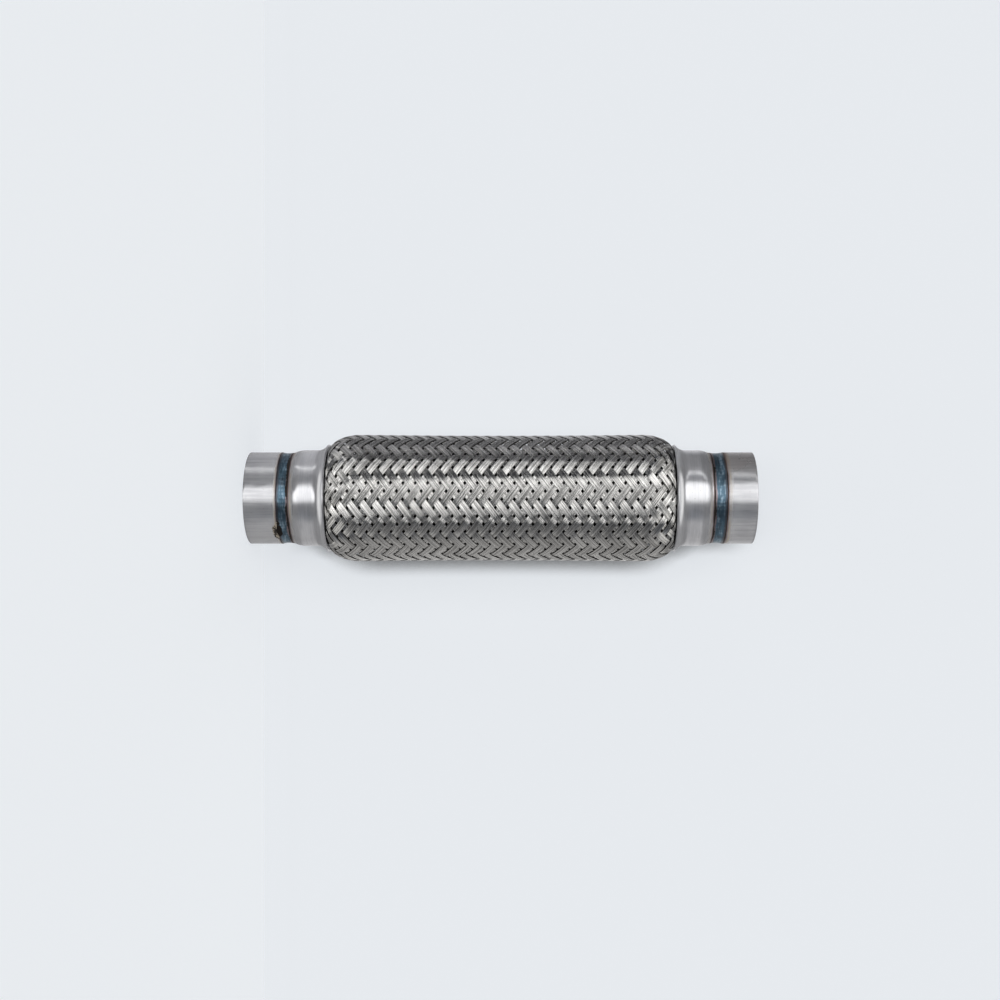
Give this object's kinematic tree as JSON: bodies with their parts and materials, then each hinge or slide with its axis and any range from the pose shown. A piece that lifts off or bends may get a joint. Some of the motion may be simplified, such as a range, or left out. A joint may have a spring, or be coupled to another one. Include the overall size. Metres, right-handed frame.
{
  "type": "exhaust flex pipe",
  "caption": "Flexible exhaust pipe section: steel wire braid over bellows and liner, pressed end caps and plain weld-on tube stubs.",
  "frame": {"origin": "centre of the lower stub's rim, at the bottom of the bounding box, the pipe standing on that rim", "axes": "+Z along the pipe's axis from the lower stub to the upper one; X and Y across it"},
  "size_m": [0.0734, 0.0734, 0.29],
  "materials": {
    "stub_steel": "drawn steel tube with fine lengthwise lines",
    "cap_steel": "pressed steel, soft sheen, heat tint beside the weld",
    "weld_metal": "blued weld bead",
    "braid_wire": "bright drawn stainless wire",
    "bellows_steel": "dull rolled stainless sheet",
    "liner_steel": "dull rolled stainless strip"
  },
  "bodies": {
    "root": {"lower_stub": "stub_steel", "upper_stub": "stub_steel", "lower_weld_bead": "weld_metal", "upper_weld_bead": "weld_metal", "lower_end_cap": "cap_steel", "upper_end_cap": "cap_steel", "outer_braid": "braid_wire", "bellows": "bellows_steel", "lower_inner_ring": "liner_steel", "upper_inner_ring": "liner_steel", "inner_liner": "liner_steel"}
  },
  "joints": []
}
